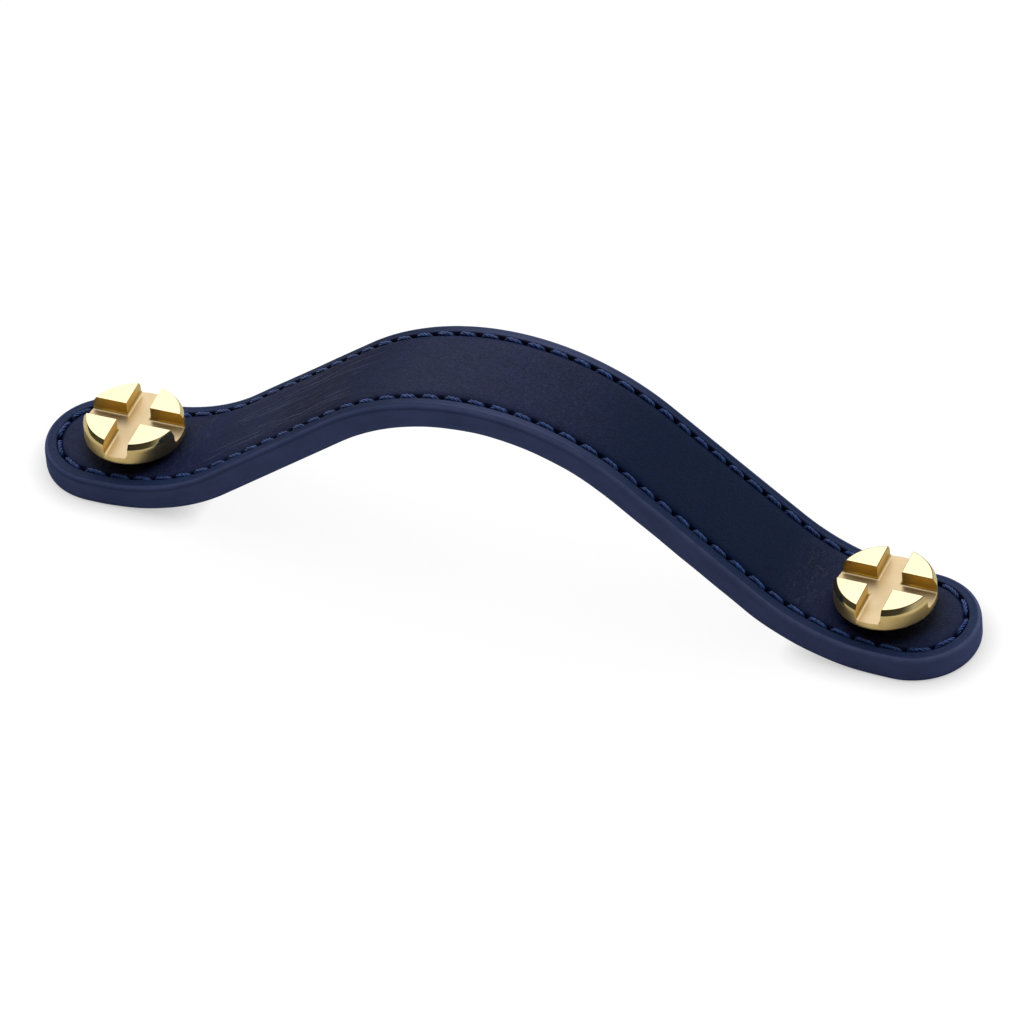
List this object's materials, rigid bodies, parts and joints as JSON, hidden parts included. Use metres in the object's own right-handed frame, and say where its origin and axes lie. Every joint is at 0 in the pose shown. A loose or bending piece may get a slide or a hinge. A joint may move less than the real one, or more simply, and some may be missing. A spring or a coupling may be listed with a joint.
{
  "type": "leather strap pull",
  "caption": "Arched leather strap pull with rounded ends, stitched all round its edge and held at each foot by a slotted brass screw tapped from below.",
  "frame": {"origin": "centre of the pull's footprint, on the face that it is fixed to, midway between the two screws", "axes": "+X along the strap from the left foot to the right one, +Y across it, +Z away from the fixing face"},
  "size_m": [0.1586, 0.0214, 0.0377],
  "materials": {
    "leather_face": "smooth navy grain leather, satin, with fine creases and scuffs by the screws; edges painted navy",
    "leather_back": "plain navy leather, matt",
    "thread": "waxed twisted thread, mid blue",
    "brass": "polished flats and chamfers, fine turned sides"
  },
  "bodies": {
    "root": {"leather_front": "leather_face", "leather_back": "leather_back", "needle_thread": "thread", "bobbin_thread": "thread", "screw_left": "brass", "screw_right": "brass"}
  },
  "joints": []
}
